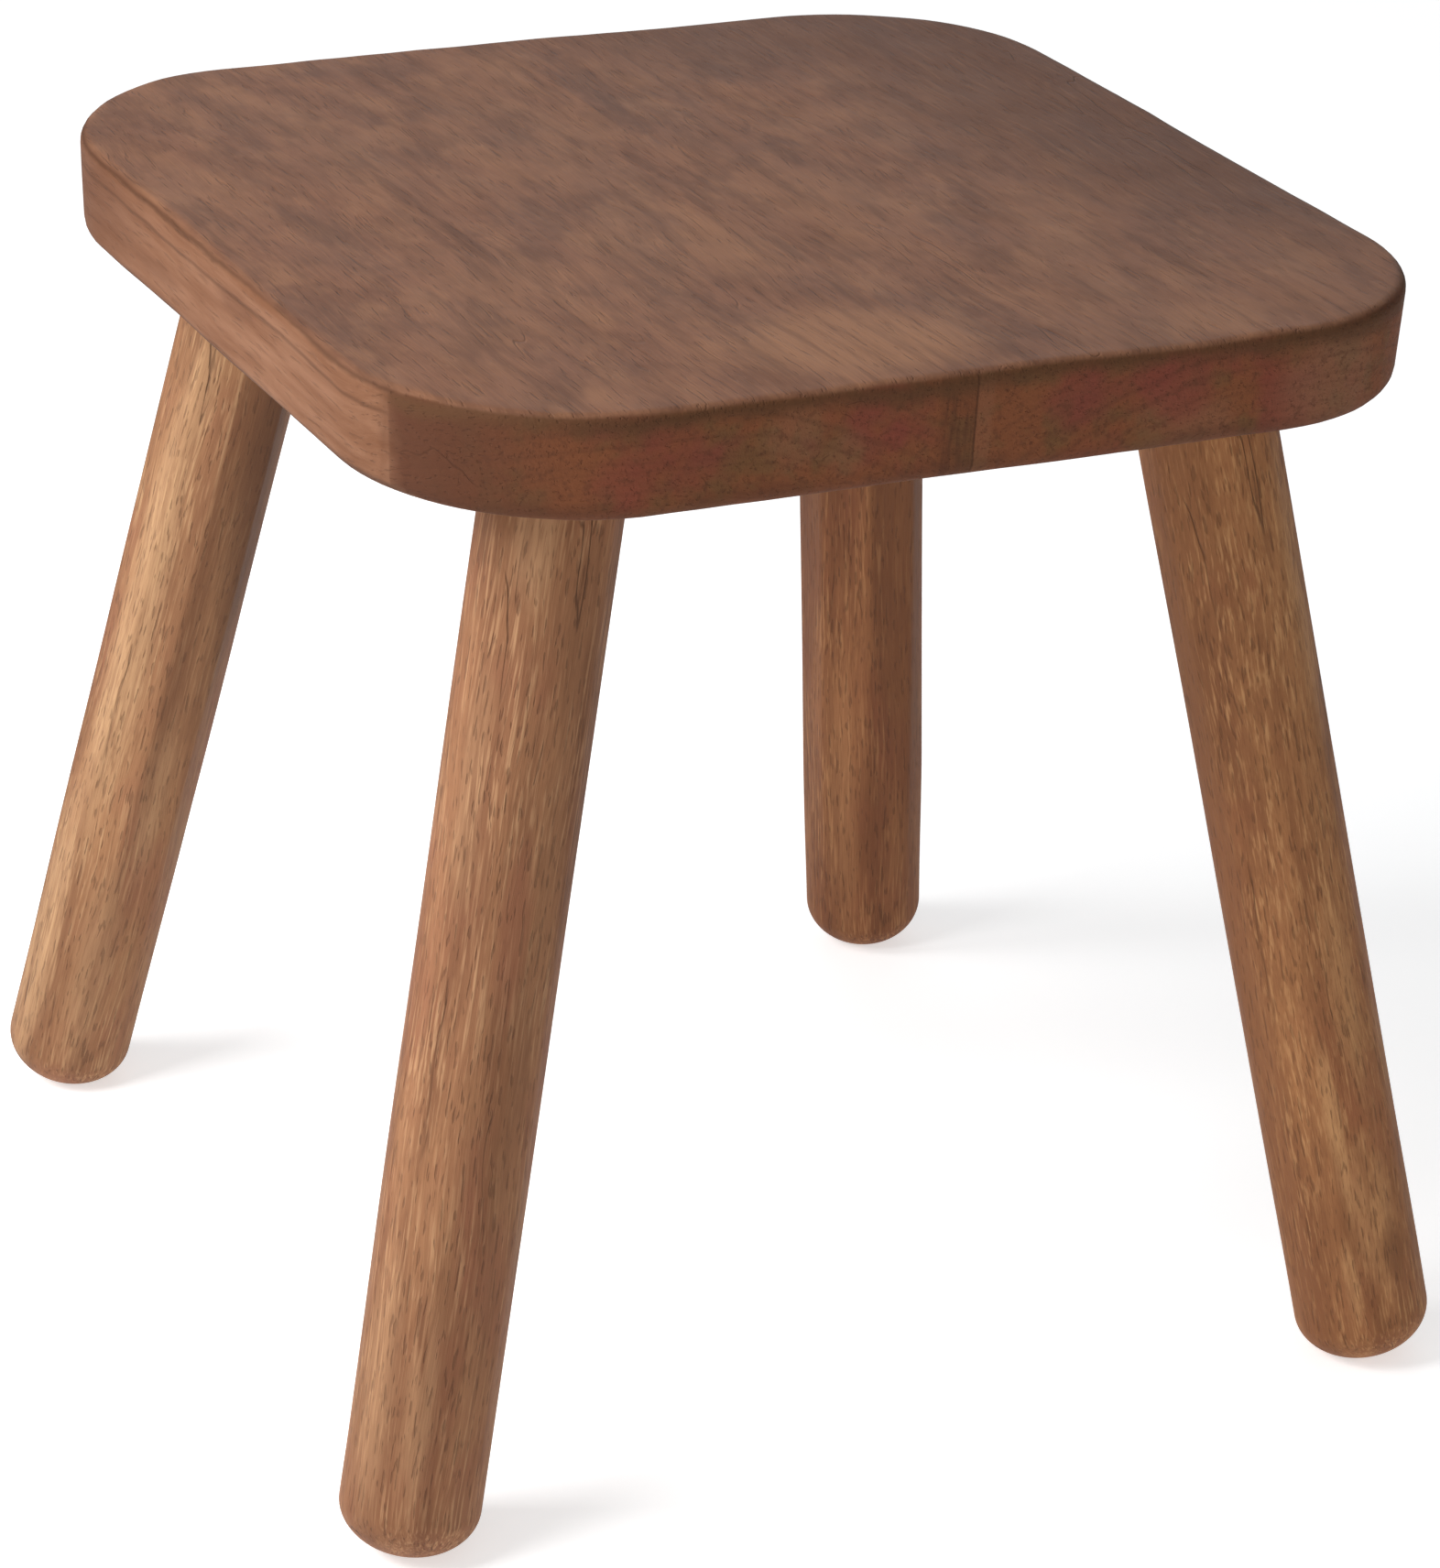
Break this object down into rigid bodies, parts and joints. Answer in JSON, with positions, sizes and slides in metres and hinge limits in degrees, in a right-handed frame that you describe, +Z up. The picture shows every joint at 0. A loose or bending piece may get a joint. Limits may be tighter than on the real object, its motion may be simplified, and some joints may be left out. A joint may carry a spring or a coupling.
{
  "type": "milking stool",
  "caption": "Low wooden milking stool: a thick square seat with rounded corners on splayed round legs with domed feet.",
  "frame": {"origin": "on the floor, under the middle of the seat", "axes": "+Z up, +X to the right and +Y to the back as seen from the front; the grain of the seat runs along Y"},
  "size_m": [0.3152, 0.3152, 0.301],
  "materials": {
    "seat_wood": "matt brown stain, worn to a greyed brown on top",
    "leg_wood": "matt golden-brown stain over long grain with dark pores",
    "dowel_wood": "bare",
    "wedge_wood": "bare"
  },
  "bodies": {
    "root": {"seat_board_left": "seat_wood", "seat_board_right": "seat_wood", "dowel_front": "dowel_wood", "dowel_middle": "dowel_wood", "dowel_back": "dowel_wood", "leg_front_left": "leg_wood", "leg_front_right": "leg_wood", "leg_back_right": "leg_wood", "leg_back_left": "leg_wood", "wedge_front_left": "wedge_wood", "wedge_front_right": "wedge_wood", "wedge_back_right": "wedge_wood", "wedge_back_left": "wedge_wood"}
  },
  "joints": []
}
